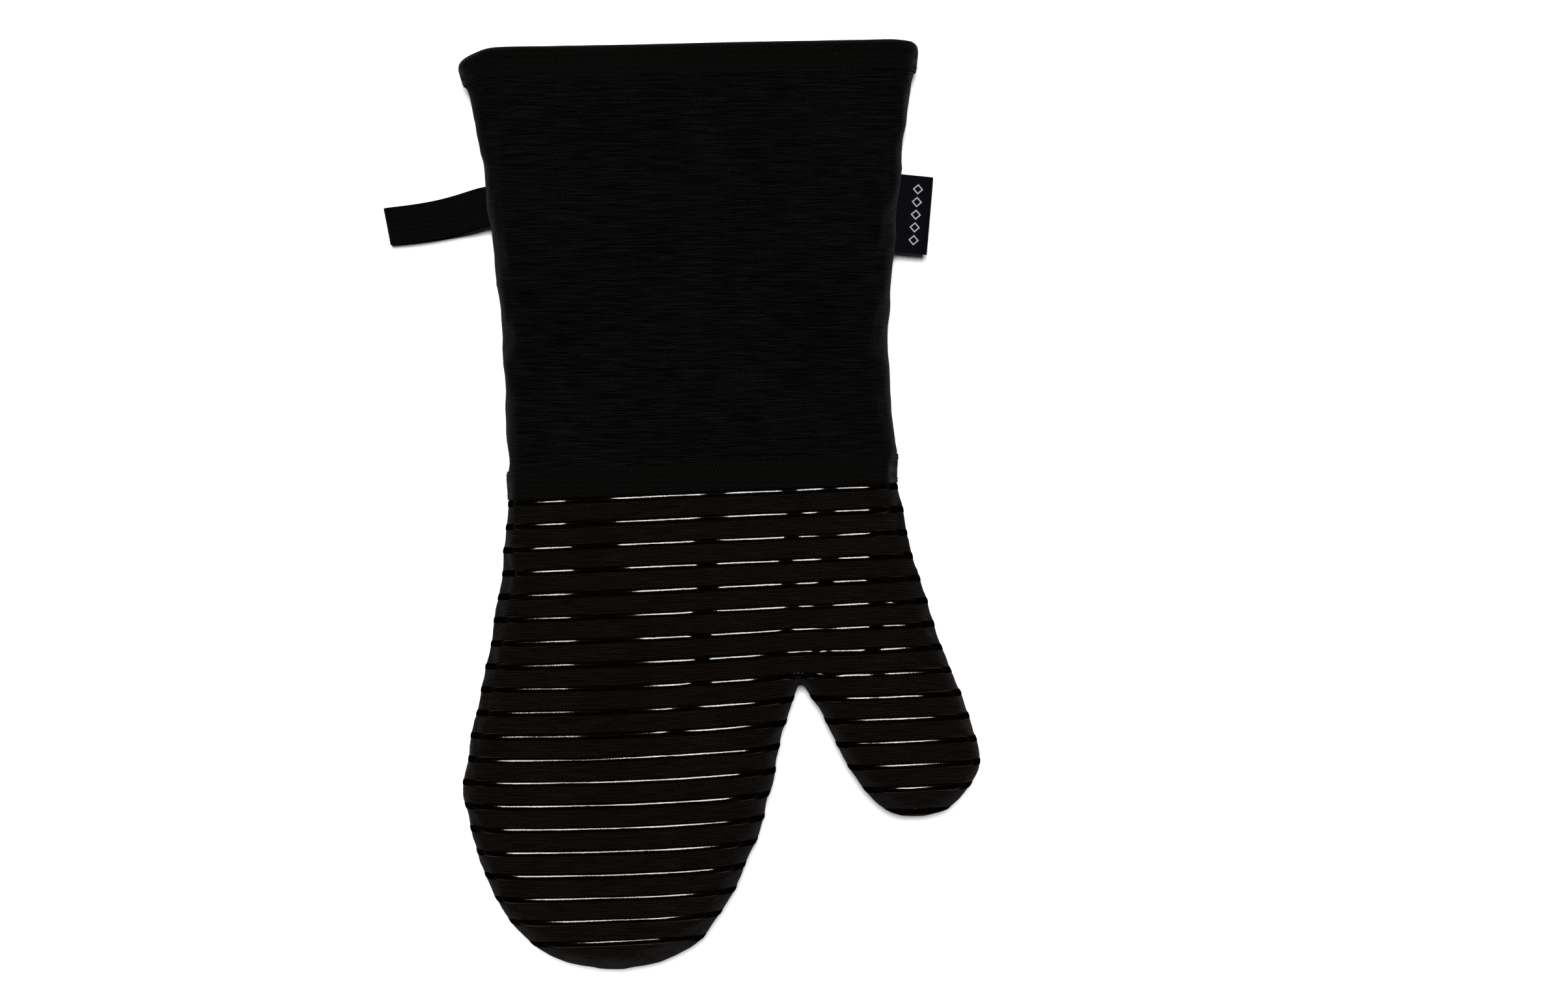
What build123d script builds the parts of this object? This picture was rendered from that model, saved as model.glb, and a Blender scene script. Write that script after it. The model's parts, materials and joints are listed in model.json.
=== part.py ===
from build123d import *

import math
import os

# Padded oven mitt with a long flared cuff, lying flat on a table, fingers towards -Y.
#
# Millimetres. +X is the thumb's side, +Y the mouth of the cuff, +Z up from the table.
# The origin is on the table, under the middle of the whole mitt.
#
# The wall is built as the real one is, in nested layers: outer cloth, wadding, lining, and
# inside them the pocket for the hand. The front and the back are separate pieces that meet
# at the side seam, half way up. Cloth bends anywhere and a solid doesn't, so the layers are
# also cut at the three lines where a worn mitt folds: wrist, fingers and thumb. Each fold
# turns about a line at the top of the front, so the back opens and nothing runs into anything.

# Layers of the wall, from the outside in
CLOTH = 1.2
WADDING = 3.2
LINING = 0.6
TAPE = 0.8
WALL = CLOTH + WADDING + LINING

# Loft of the empty mitt. The cuff's cloth is thinner by the tape that wraps its mouth.
HAND_LOFT = 24.8
CUFF_LOFT = HAND_LOFT - 2 * TAPE
SEAM_Z = HAND_LOFT / 2
SIDE_ROUND = 9.0

# Weave, wrist tape and stripes all lean a little across the mitt
LEAN = 2.6

# Tape over the wrist seam: its lower edge at the middle of the mitt, and its width
WRIST_TAPE_Y = 4.5
WRIST_TAPE_WIDTH = 10.8
WRIST_FOLD_Y = WRIST_TAPE_Y + WRIST_TAPE_WIDTH

# Mouth of the cuff, and the tape folded over its raw edges
MOUTH_Y = 176.1
MOUTH_LEAN = 1.2
BINDING_WIDTH = 12.2

# Silicone stripes. On the front they stand proud; on the back the mitt's weight sinks them.
STRIPE_COUNT = 20
STRIPE_PITCH = 8.88
STRIPE_WIDTH = 2.6
STRIPE_SUNK = 0.5
STRIPE_PROUD = 0.4
FIRST_STRIPE_Y = 2.95

# Folds of the worn mitt. The fingers fold between two stripes, the thumb on a slanting line.
FOLD_Z = HAND_LOFT + STRIPE_PROUD
FOLD_GAP = 0.3
STRIPES_ABOVE_FINGER_FOLD = 10.5
FINGER_FOLD_Y = FIRST_STRIPE_Y - STRIPES_ABOVE_FINGER_FOLD * STRIPE_PITCH
CROTCH_X = 45.8
CROTCH_Y = -69.4
THUMB_FOLD_ANGLE = 58.0
THUMB_FOLD_OFFSET = 18.0

# Rows of lockstitch, pulled level with the face of the tape
THREAD_WIDTH = 0.6
THREAD_DEPTH = 0.3
STITCH_INSET = 1.5

# Loop and label hang from the side seams, each turning about the centre of its rounded root
HANG_GAP = 0.35

# Hanging loop: woven tape folded back on itself. Its tip rests on the table.
LOOP_WIDTH = 14.5
LOOP_TAPE = 1.1
LOOP_DIRECTION = 191.0
LOOP_SEAM_X = -75.1
LOOP_SEAM_Y = 114.2
LOOP_REACH = 39.0
LOOP_RISE = 7.4

# Woven label, folded in half along its outer edge
LABEL_LENGTH = 30.0
LABEL_REACH = 11.4
LABEL_LEAF = 0.45
LABEL_SLIT = 0.3
LABEL_DIRECTION = -5.0
LABEL_SEAM_X = 83.9
LABEL_SEAM_Y = 111.4

# Plain diamonds woven into the label
MARK_COUNT = 5
MARK_PITCH = 4.8
MARK_SIZE = 3.6
MARK_LINE = 0.7
MARK_DEPTH = 0.15

# Larger than the mitt, for cutting planes
FAR = 400.0

# Corners of the two outlines, each rounded by an arc nearly as large as its sides allow
ARC_SHARE = 0.46
HAND_CORNERS = [
    (-66.5, 60), (-66.3, 5), (-70.4, -38), (-78.6, -78), (-84.0, -108), (-78.6, -136),
    (-66.5, -160), (-47, -175.6), (-22, -179.0), (4, -171.5), (20.5, -151), (31.2, -125),
    (37.6, -98), (43.6, -71.5), (46.2, -66.0), (49.6, -73.0), (58.4, -90), (67.2, -105.5),
    (77.0, -117.0), (90, -120.6), (105, -115.5), (115.2, -101), (113.0, -85), (105.3, -66.5),
    (96.3, -43), (88.6, -18), (83.8, 8), (83.6, 60),
]
CUFF_CORNERS = [
    (-66.4, -30), (-66.0, 14), (-67.6, 44), (-72.4, 96), (-77.4, 138), (-83, 164), (-91, 195),
    (92, 195), (89.6, 165), (86.0, 138), (82.6, 98), (80.0, 54), (82.6, 22), (84.4, -30),
]


def outline(corners):
    """A closed plan outline of tangent arcs and short straight runs."""
    radii = []
    for before, here, after in zip(corners[-1:] + corners[:-1], corners, corners[1:] + corners[:1]):
        arriving = Vector(*here) - Vector(*before)
        leaving = Vector(*after) - Vector(*here)
        half_turn = math.radians(arriving.get_angle(leaving)) / 2
        radii.append(ARC_SHARE * min(arriving.length, leaving.length) / math.tan(half_turn))
    return make_face(FilletPolyline(*corners, radius=radii, close=True))


def pillow(plan, loft, inset):
    """The rounded form of the mitt, shrunk all over by inset, or grown where inset is negative."""
    face = offset(plan, -inset) if inset else plan
    slab = Pos(0, 0, SEAM_Z - loft / 2 + inset) * extrude(face, loft - 2 * inset)
    rims = slab.edges().group_by(Axis.Z)
    return fillet([*rims[0], *rims[-1]], SIDE_ROUND - inset)


def prism(corners, low=-FAR, high=FAR):
    """An upright prism on a polygon."""
    face = make_face(Polyline(*corners, close=True))
    return Pos(0, 0, low) * extrude(face, high - low)


def band(bottom, top, lean=LEAN):
    """All of space between two parallel lines that lean across the mitt."""
    rise = FAR * math.tan(math.radians(lean))
    return prism([(-FAR, bottom - rise), (FAR, bottom + rise), (FAR, top + rise), (-FAR, top - rise)])


def halves():
    """All of space above and below the side seam."""
    everywhere = [(-FAR, -FAR), (FAR, -FAR), (FAR, FAR), (-FAR, FAR)]
    return {"front": prism(everywhere, SEAM_Z, FAR), "back": prism(everywhere, -FAR, SEAM_Z)}


def thumb_space(offset_from_crotch):
    """All of space on the thumb's side of a line parallel to the thumb's fold."""
    angle = math.radians(THUMB_FOLD_ANGLE)
    foot_x = CROTCH_X + offset_from_crotch * math.sin(angle)
    foot_y = CROTCH_Y - offset_from_crotch * math.cos(angle)
    below, above = -16, 120
    start = (foot_x + below * math.cos(angle), foot_y + below * math.sin(angle))
    end = (foot_x + above * math.cos(angle), foot_y + above * math.sin(angle))
    return prism([start, end, (FAR, end[1]), (FAR, -FAR), (start[0], -FAR)])


def finger_space(top):
    """All of space below the fingers' fold, on the fingers' side of the crotch."""
    notch_x = CROTCH_X + 2
    return band(-FAR, top) & prism([(-FAR, -FAR), (notch_x, -FAR), (notch_x, 0), (-FAR, 0)])


def fold_spaces():
    """The space of each rigid stretch of the hand, with a narrow gap at every fold."""
    half_gap = FOLD_GAP / 2
    palm = band(-FAR, WRIST_FOLD_Y - half_gap)
    palm -= finger_space(FINGER_FOLD_Y + half_gap)
    palm -= thumb_space(THUMB_FOLD_OFFSET - half_gap)
    return {
        "palm": palm,
        "fingers": finger_space(FINGER_FOLD_Y - half_gap),
        "thumb": thumb_space(THUMB_FOLD_OFFSET + half_gap),
    }


def stripe_bands():
    """The leaning bands that the silicone stripes fill."""
    bands = []
    for number in range(STRIPE_COUNT):
        middle = FIRST_STRIPE_Y - number * STRIPE_PITCH
        bands.append(band(middle - STRIPE_WIDTH / 2, middle + STRIPE_WIDTH / 2))
    return Part() + bands


def stitch_bands(bottom, top, lean=LEAN):
    """Two narrow bands just inside the edges of a tape, one where the tape has one free edge."""
    rows = [band(bottom + STITCH_INSET, bottom + STITCH_INSET + THREAD_WIDTH, lean)]
    if top is not None:
        rows.append(band(top - STITCH_INSET - THREAD_WIDTH, top - STITCH_INSET, lean))
    return Part() + rows


def hand_pieces():
    """Cloth, wadding, lining and stripes of the palm, fingers and thumb, and the wrist tape."""
    plan = outline(HAND_CORNERS)
    proud, skin, thread_floor, stripe_floor, tape_floor, under_cloth, under_wadding, pocket = (
        pillow(plan, HAND_LOFT, inset)
        for inset in (-STRIPE_PROUD, 0, THREAD_DEPTH, STRIPE_SUNK, TAPE, CLOTH, CLOTH + WADDING, WALL)
    )
    stripes = stripe_bands()
    tape = band(WRIST_TAPE_Y, WRIST_FOLD_Y - FOLD_GAP / 2)
    grooves = ((proud - stripe_floor) & stripes) + ((proud - tape_floor) & tape)
    cloth = (skin - under_cloth) - grooves
    layers = {"panel": cloth, "wadding": under_cloth - under_wadding, "lining": under_wadding - pocket}
    stripe_layers = {"front": (proud - stripe_floor) & stripes, "back": (skin - stripe_floor) & stripes}

    pieces = {}
    for body, space in fold_spaces().items():
        for side, half in halves().items():
            for layer, shape in layers.items():
                pieces[f"{body}_{side}_{layer}"] = shape & space & half
            pieces[f"{body}_{side}_stripes"] = stripe_layers[side] & space & half

    rows = stitch_bands(WRIST_TAPE_Y, WRIST_FOLD_Y)
    tape_ring = ((skin - tape_floor) & tape) - ((proud - thread_floor) & rows)
    for side, half in halves().items():
        pieces[f"wrist_tape_{side}"] = tape_ring & half
    pieces["wrist_tape_stitching"] = (skin - thread_floor) & rows
    return pieces


def cuff_pieces():
    """Cloth, wadding and lining of the cuff, and the tape bound over its mouth."""
    plan = outline(CUFF_CORNERS)
    far_out, tape_skin, thread_floor, skin, under_cloth, under_wadding, pocket, tape_pocket = (
        pillow(plan, CUFF_LOFT, inset)
        for inset in (-2 * TAPE, -TAPE, THREAD_DEPTH - TAPE, 0, CLOTH, CLOTH + WADDING, WALL, WALL + TAPE)
    )
    below_mouth = band(-FAR, MOUTH_Y - TAPE, MOUTH_LEAN)
    walls = below_mouth - band(-FAR, WRIST_FOLD_Y + FOLD_GAP / 2)
    layers = {
        "panel": skin - under_cloth,
        "wadding": under_cloth - under_wadding,
        "lining": under_wadding - pocket,
    }
    pieces = {}
    for side, half in halves().items():
        for layer, shape in layers.items():
            pieces[f"cuff_{side}_{layer}"] = shape & walls & half

    free_edge = MOUTH_Y - BINDING_WIDTH
    row = stitch_bands(free_edge, None, MOUTH_LEAN)
    binding = (tape_skin - tape_pocket) & band(free_edge, MOUTH_Y, MOUTH_LEAN)
    binding -= (skin - pocket) & below_mouth
    pieces["mouth_binding"] = binding - ((far_out - thread_floor) & row)
    pieces["mouth_binding_stitching"] = (tape_skin - thread_floor) & row
    return pieces


def seam_plane(x, y, direction, root_radius):
    """Local X runs out from the seam, local Y up, with the origin at the centre of a rounded root."""
    angle = math.radians(direction)
    away = HANG_GAP + root_radius
    origin = (x + away * math.cos(angle), y + away * math.sin(angle), SEAM_Z)
    return Plane(origin, x_dir=(math.cos(angle), math.sin(angle), 0), z_dir=(math.sin(angle), -math.cos(angle), 0))


def hang_loop():
    """A length of tape folded back on itself, seen from its edge and drawn out to its width."""
    floor = -SEAM_Z
    top = floor + LOOP_RISE
    tip = LOOP_REACH - HANG_GAP - LOOP_TAPE
    corners = [
        (0, LOOP_TAPE), (0.4 * tip, top + 1.2), (0.86 * tip, top), (tip, top - 1.6),
        (tip, floor + 1.6), (0.9 * tip, floor), (0.44 * tip, floor), (0, -LOOP_TAPE),
    ]
    radii = [0.3, 14, 10, 2.2, 2.2, 4, 10, 0.3]
    outside = make_face(FilletPolyline(*corners, radius=radii, close=True))
    profile = outside - offset(outside, -LOOP_TAPE) + Circle(LOOP_TAPE)
    plane = seam_plane(LOOP_SEAM_X, LOOP_SEAM_Y, LOOP_DIRECTION, LOOP_TAPE)
    return extrude(plane * profile, LOOP_WIDTH / 2, both=True)


def label_pieces():
    """The folded label, and the diamonds woven into its upper leaf."""
    half_thickness = LABEL_LEAF + LABEL_SLIT / 2
    tip = LABEL_REACH - HANG_GAP - half_thickness
    plane = seam_plane(LABEL_SEAM_X, LABEL_SEAM_Y, LABEL_DIRECTION, half_thickness)
    outside = Pos((tip - half_thickness) / 2, 0) * SlotOverall(tip + half_thickness, 2 * half_thickness)
    slit = Pos(tip / 2 + LABEL_SLIT, 0) * SlotOverall(tip - 4 * LABEL_LEAF, LABEL_SLIT)
    label = extrude(plane * (outside - slit), LABEL_LENGTH / 2, both=True)

    diamond = RegularPolygon(MARK_SIZE / 2, 4) - RegularPolygon(MARK_SIZE / 2 - MARK_LINE, 4)
    diamonds = Sketch()
    for number in range(MARK_COUNT):
        diamonds += Pos(tip / 2, (number - (MARK_COUNT - 1) / 2) * MARK_PITCH) * diamond
    face_plane = Plane(plane.origin + Vector(0, 0, half_thickness), x_dir=plane.x_dir, z_dir=(0, 0, 1))
    mark = extrude(face_plane * diamonds, -MARK_DEPTH)
    groove = mark + extrude(face_plane * diamonds, MARK_DEPTH)
    return {"label": label - groove, "label_mark": mark}


def main():
    pieces = {**cuff_pieces(), **hand_pieces(), "hang_loop": hang_loop(), **label_pieces()}
    os.makedirs("parts", exist_ok=True)
    for name, piece in pieces.items():
        export_step(piece, f"parts/{name}.step")


if __name__ == "__main__":
    main()
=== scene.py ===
# %% [markdown]
# # A padded oven mitt, from its layers to its last stitch
#
# The mitt lies on its back on a pale table: a woven black hand with raised silicone stripes, a
# long flared cuff, herringbone tape over the wrist seam and round the mouth, a hanging loop in
# one side seam and a small woven label in the other. This lesson starts from a fixed frame of
# plain solids, which say where each layer lies and what moves, and makes the cloth around them.

import json
import math

import bmesh
import bpy
import numpy as np
from mathutils import Matrix, Vector
from mathutils.bvhtree import BVHTree
from mathutils.kdtree import KDTree


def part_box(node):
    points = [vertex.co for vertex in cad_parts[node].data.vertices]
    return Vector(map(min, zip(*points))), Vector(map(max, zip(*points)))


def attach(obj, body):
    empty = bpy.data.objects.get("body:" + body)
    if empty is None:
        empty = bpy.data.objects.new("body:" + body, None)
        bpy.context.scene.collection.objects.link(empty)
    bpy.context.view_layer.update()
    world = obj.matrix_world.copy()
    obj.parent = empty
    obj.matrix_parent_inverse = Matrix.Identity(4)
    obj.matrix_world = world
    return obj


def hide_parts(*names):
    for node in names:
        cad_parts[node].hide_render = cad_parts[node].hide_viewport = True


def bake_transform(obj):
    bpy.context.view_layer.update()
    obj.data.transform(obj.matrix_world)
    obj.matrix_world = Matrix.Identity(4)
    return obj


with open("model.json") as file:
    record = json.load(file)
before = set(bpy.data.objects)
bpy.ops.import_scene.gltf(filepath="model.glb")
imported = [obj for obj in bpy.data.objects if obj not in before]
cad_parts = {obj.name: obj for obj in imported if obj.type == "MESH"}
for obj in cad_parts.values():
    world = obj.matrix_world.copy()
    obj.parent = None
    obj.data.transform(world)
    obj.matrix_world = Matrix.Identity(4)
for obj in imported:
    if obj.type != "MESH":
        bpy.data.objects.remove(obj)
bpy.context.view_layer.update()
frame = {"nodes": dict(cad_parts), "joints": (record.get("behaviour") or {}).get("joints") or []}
MM = 0.001

# %% [markdown]
# Every size comes from the frame: the tape's place from its solid, the folds from the joints.
# The weave, the tape and the stripes lean a little across the mitt, so positions along it are
# measured with a slope. The stripes' pitch is the sewing pattern's own and is stated here.

# %% Sizes read from the frame
joints = {joint["name"]: joint for joint in frame["joints"]}
WRIST, FINGERS, THUMB = (joints[name] for name in ("wrist_fold", "finger_fold", "thumb_fold"))
LEAN = math.atan2(-WRIST["axis"][1], -WRIST["axis"][0])
SLOPE = math.tan(LEAN)
UP_HAND = Vector((-math.sin(LEAN), math.cos(LEAN), 0))
WRIST_Y = WRIST["pos_m"][1]
FINGER_Y = FINGERS["pos_m"][1]
TAPE_WIDTH = 10.8 * MM
TAPE_Y = WRIST_Y - TAPE_WIDTH
SEAM_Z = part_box("label")[0].z / 2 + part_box("label")[1].z / 2
HAND_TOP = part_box("palm_front_panel")[1].z
MOUTH_LEAN = math.radians(1.2)
MOUTH_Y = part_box("mouth_binding")[1].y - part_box("mouth_binding")[1].x * math.tan(MOUTH_LEAN)
BINDING_WIDTH = 12.2 * MM
CLOTH, WADDING, LINING, TAPE = 1.2 * MM, 3.2 * MM, 0.6 * MM, 0.8 * MM
STRIPE_PITCH, STRIPE_WIDTH, STRIPE_COUNT = 8.88 * MM, 2.6 * MM, 20
FIRST_STRIPE_Y = FINGER_Y + 10.5 * STRIPE_PITCH
THUMB_ACROSS = Vector((-THUMB["axis"][1], THUMB["axis"][0], 0))
CROTCH = Vector(THUMB["pos_m"]) - THUMB_ACROSS * 18 * MM
print("lean in degrees:", round(math.degrees(LEAN), 2), "crotch in mm:", [round(v / MM, 1) for v in CROTCH])


def tilted_y(x, y_at_middle, lean=LEAN):
    """Height along the mitt of a leaning line, at x."""
    return y_at_middle + x * math.tan(lean)


# %% [markdown]
# The camera comes first, so that every later choice can be judged in its view. It looks
# straight down, from far enough away that the mitt's sides barely show.

# %% Camera straight above
CAMERA_HEIGHT = 1.5
VIEW_WIDTH = 0.602
SENSOR = 36.0
VIEW_CENTRE = (0.0396, 0.0039)
scene = bpy.context.scene


def in_scene(name, data):
    """Makes an object of some data and puts it in the scene."""
    item = bpy.data.objects.new(name, data)
    scene.collection.objects.link(item)
    return item


camera_data = bpy.data.cameras.new("camera")
camera_data.sensor_width = SENSOR
camera_data.lens = SENSOR * (CAMERA_HEIGHT - HAND_TOP / 2) / VIEW_WIDTH
camera = in_scene("camera", camera_data)
camera.location = (*VIEW_CENTRE, CAMERA_HEIGHT)
scene.camera = camera
print("camera lens in mm:", round(camera_data.lens, 1))

# %% [markdown]
# Light: black cloth on a white table needs one broad lamp straight above. Silicone mirrors it
# as a clean line along each stripe, and everything beside it stays black. A sun lamp with a
# softbox's apparent size does that, and lights the table evenly out to the horizon. The sky is
# dark overhead and pale near the horizon, so a low camera still sees a pale room. The Standard
# view transform keeps the table white without greying the blacks.

# %% Softbox, sky and table
SOFTBOX_ANGLE = math.radians(18)
SOFTBOX_TILT = math.radians(9.5)
SOFTBOX_POWER = 4.95
softbox_data = bpy.data.lights.new("softbox", "SUN")
softbox_data.energy = SOFTBOX_POWER
softbox_data.angle = SOFTBOX_ANGLE
softbox = in_scene("softbox", softbox_data)
softbox.rotation_euler = (-SOFTBOX_TILT, 0, 0)

scene.view_settings.view_transform = "Standard"
world = bpy.data.worlds.new("sky")
scene.world = world
world.use_nodes = True
sky = world.node_tree
height = sky.nodes.new("ShaderNodeSeparateXYZ")
sky.links.new(sky.nodes.new("ShaderNodeTexCoord").outputs["Generated"], height.inputs[0])
ramp = sky.nodes.new("ShaderNodeValToRGB")
ramp.color_ramp.elements[0].position, ramp.color_ramp.elements[0].color = 0.02, (0.85, 0.85, 0.85, 1)
ramp.color_ramp.elements[1].position, ramp.color_ramp.elements[1].color = 0.16, (0.015, 0.015, 0.015, 1)
sky.links.new(height.outputs["Z"], ramp.inputs[0])
sky.links.new(ramp.outputs[0], sky.nodes["Background"].inputs["Color"])

table_form = bmesh.new()
bmesh.ops.create_grid(table_form, x_segments=1, y_segments=1, size=6.0)
table_mesh = bpy.data.meshes.new("table")
table_form.to_mesh(table_mesh)
table = in_scene("table", table_mesh)
print("lamp:", softbox.name, "table width in m:", table.dimensions.x)

# %% [markdown]
# Shader maths reads best as plain sums. One small class wraps a socket, so that adding or
# multiplying two of them adds the Math node, and one method makes any other node.


# %% Sockets that add and multiply
class Signal:
    """A number, colour or vector on its way through a finish's nodes."""

    def __init__(self, tree, socket):
        self.tree, self.socket = tree, socket

    def made(self, kind, inputs, output=0, **settings):
        """Adds a node: its settings first, then the values or links of its sockets."""
        node = self.tree.nodes.new(kind)
        for name, value in settings.items():
            setattr(node, name, value)
        for key, value in inputs.items():
            if isinstance(value, Signal):
                self.tree.links.new(value.socket, node.inputs[key])
            else:
                node.inputs[key].default_value = value
        return Signal(self.tree, node.outputs[output])

    def maths(self, operation, *values):
        return self.made("ShaderNodeMath", dict(enumerate(values)), operation=operation)

    def __add__(self, other):
        return self.maths("ADD", self, other)

    def __mul__(self, other):
        return self.maths("MULTIPLY", self, other)

    def __sub__(self, other):
        return self.maths("SUBTRACT", self, other)

    def __rsub__(self, other):
        return self.maths("SUBTRACT", other, self)

    def __pow__(self, other):
        return self.maths("POWER", self, other)

    __radd__ = __add__
    __rmul__ = __mul__

    def wave(self, pitch):
        """0 to 1 and back once every pitch."""
        return self.maths("SINE", self * (2 * math.pi / pitch)) * 0.5 + 0.5

    def limited(self):
        """Held between 0 and 1."""
        return self.made("ShaderNodeClamp", {0: self, 1: 0.0, 2: 1.0})


class Finish:
    """A material with one Principled shader, whose constants are set on its own sockets."""

    def __init__(self, name, **constants):
        self.material = bpy.data.materials.new(name)
        self.material.use_nodes = True
        self.tree = self.material.node_tree
        self.shader = self.tree.nodes["Principled BSDF"]
        for key, value in constants.items():
            self.shader.inputs[key.replace("_", " ")].default_value = value
        self.start = Signal(self.tree, None)

    def surface(self):
        """The piece's own cloth coordinates, in metres: across, along, and both together."""
        uv = self.start.made("ShaderNodeUVMap", {}, uv_map="cloth")
        return self.parts(uv)

    def solid(self):
        """Object coordinates, for pieces that never bend."""
        return self.parts(self.start.made("ShaderNodeTexCoord", {}, output="Object"))

    def parts(self, vector):
        across = self.start.made("ShaderNodeSeparateXYZ", {0: vector}, output=0)
        along = self.start.made("ShaderNodeSeparateXYZ", {0: vector}, output=1)
        return across, along, vector

    def cloud(self, vector, size, stretch=(1, 1, 1), detail=3.0):
        """Soft noise, 0 to 1, with blots of about that size."""
        scaled = self.start.made("ShaderNodeMapping", {0: vector, 3: stretch})
        noise = {"Vector": scaled, "Scale": 1 / size, "Detail": detail}
        return self.start.made("ShaderNodeTexNoise", noise)

    def colours(self, amount, dark, light):
        """Base colour from dark to light as amount goes from 0 to 1."""
        shades = {0: amount, 6: (*dark, 1), 7: (*light, 1)}
        mix = self.start.made("ShaderNodeMix", shades, output=2, data_type="RGBA")
        self.tree.links.new(mix.socket, self.shader.inputs["Base Color"])

    def roughness(self, amount):
        self.tree.links.new(amount.socket, self.shader.inputs["Roughness"])

    def relief(self, height, depth):
        """Height 0 to 1 stands depth metres proud."""
        bump = self.start.made("ShaderNodeBump", {"Strength": 1.0, "Distance": depth, "Height": height})
        self.tree.links.new(bump.socket, self.shader.inputs["Normal"])

    def painted_black_shade(self, amount):
        """Swaps the shine for plain black, a painted shade, as amount goes from 0 to 1."""
        shade = (0.0005, 0.0005, 0.0005, 1)
        plain = self.start.made("ShaderNodeBsdfDiffuse", {"Color": shade})
        shiny = Signal(self.tree, self.shader.outputs[0])
        both = self.start.made("ShaderNodeMixShader", {0: amount, 1: shiny, 2: plain})
        self.tree.links.new(both.socket, self.tree.nodes["Material Output"].inputs["Surface"])


# %% [markdown]
# The cloths are one weave in two moods: thick weft ribs running across, fine warp between
# them, and slubs where a yarn swells. The rib is a sine along the cloth, bent a little by noise.
# The hand's cloth is browner and a little more open than the cuff's. Raised yarn is painted lighter and
# hollows darker, as painted light and shade.


# %% Woven cloths
SHEEN = 0.035
CLOUD_ALONG_YARN = (0.10, 2.0, 1)
SLUB_ALONG_YARN = (0.14, 3.2, 1)


def dull_cloth(name):
    """A dull cloth's finish, with a trace of sheen."""
    return Finish(name, Roughness=0.95, Specular_IOR_Level=0.0, Sheen_Weight=SHEEN, Sheen_Roughness=0.4)


def woven(name, dark, light, rib, warp, depth, streaks=1.0, wander=0.9 * MM):
    """Weft ribs and warp crossings at their pitches, with raised yarn painted lighter and hollows darker as
    painted shade; streaks is how much the slubs show.
    """
    finish = dull_cloth(name)
    across, along, vector = finish.surface()
    leaning = along * math.cos(LEAN) - across * math.sin(LEAN)
    drift = finish.cloud(vector, 14 * MM, (1, 2.0, 1), 1.0)
    yarn = finish.cloud(vector, 1.0 * MM, CLOUD_ALONG_YARN, 1.0)
    slub = finish.cloud(vector, 2.4 * MM, SLUB_ALONG_YARN, 1.0)
    speck = finish.cloud(vector, 0.55 * MM, (0.7, 1, 1), 1.0)
    ribs = (leaning + drift * wander + yarn * 0.25 * MM).wave(rib)
    crossings = (across + slub * 0.3 * MM + leaning * 0.35).wave(warp)
    height = ribs * 0.3 + ribs * crossings * 0.45 + yarn * 0.5 + slub * 0.35 * streaks + speck * 0.6 - 0.6
    # Colour follows the yarn's height: painted shade darkens the hollows between ribs and crossings, while
    # slubs and patches are the yarn's own tone.
    shade = (height - 0.38) * 1.5 + (slub - 0.5) * (0.9 * streaks) + 0.36
    patches = finish.cloud(vector, 45 * MM)
    finish.colours((shade + (patches - 0.5) * 0.35).limited(), dark, light)
    finish.relief(height, depth)
    return finish.material


HAND_CLOTH = woven("hand_cloth", (0.0011, 0.0006, 0.0003), (0.0094, 0.0072, 0.0061),
                   rib=0.70 * MM, warp=0.8 * MM, depth=0.2 * MM, streaks=0.4, wander=0.2 * MM)
CUFF_CLOTH = woven("cuff_cloth", (0.0001, 0.0001, 0.0001), (0.0057, 0.0048, 0.0049),
                   rib=0.66 * MM, warp=0.62 * MM, depth=0.18 * MM, streaks=0.8, wander=0.3 * MM)
LINING_CLOTH = woven("lining_cloth", (0.004, 0.004, 0.004), (0.016, 0.016, 0.016),
                     rib=0.5 * MM, warp=0.5 * MM, depth=0.05 * MM)
print("woven cloths:", HAND_CLOTH.name, CUFF_CLOTH.name, LINING_CLOTH.name)


# %% [markdown]
# Herringbone tape: a twill that turns over every few millimetres. The zigzag is a triangle
# wave across the tape added to the distance along it, so the diagonal changes sides.


# %% Tape, silicone, thread, label and wadding
ZIGZAG = 2.1 * MM


def herringbone():
    """Twill tape whose diagonal turns over along each zigzag; its raised twill is painted lighter and its
    grooves and turn lines darker, as painted shade.
    """
    finish = dull_cloth("herringbone_tape")
    across, along, vector = finish.surface()
    turn = along.maths("PINGPONG", along + 0.5, ZIGZAG)
    twill = (across + turn * 1.3).wave(1.25 * MM)
    grain = finish.cloud(vector, 0.6 * MM, detail=1.0)
    ends = (turn * (1 / ZIGZAG) - 0.5) ** 2
    height = twill * 0.62 + grain * 0.5 - ends * 0.5 - 0.05
    # Colour follows the height: raised twill painted lighter, grooves and turn lines painted darker, as
    # painted shade; the grain is the yarn's own tone.
    finish.colours((height * 1.4 - 0.2).limited(), (0.0002, 0.0002, 0.0002), (0.0046, 0.0041, 0.0037))
    finish.relief(height, 0.25 * MM)
    return finish.material


def silicone():
    """Glossy black rubber; where the stripe runs down a steep side its shine is swapped for painted black
    shade.
    """
    finish = Finish("silicone", Specular_IOR_Level=0.5, IOR=1.26)
    vector = finish.surface()[2]
    flow = finish.cloud(vector, 3.2 * MM, (0.5, 1, 1), 2.0)
    skin = finish.cloud(vector, 0.7 * MM)
    finish.colours(flow, (0.0002, 0.0002, 0.0002), (0.0006, 0.0006, 0.0006))
    finish.roughness(flow * 0.08 + 0.05)
    finish.relief(flow * 0.7 + skin * 0.3, 0.07 * MM)
    # The steep sides of the beads get painted black shade in place of their shine.
    finish.painted_black_shade(finish.start.made("ShaderNodeAttribute", {}, output="Fac", attribute_name="steepness"))
    return finish.material


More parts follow.
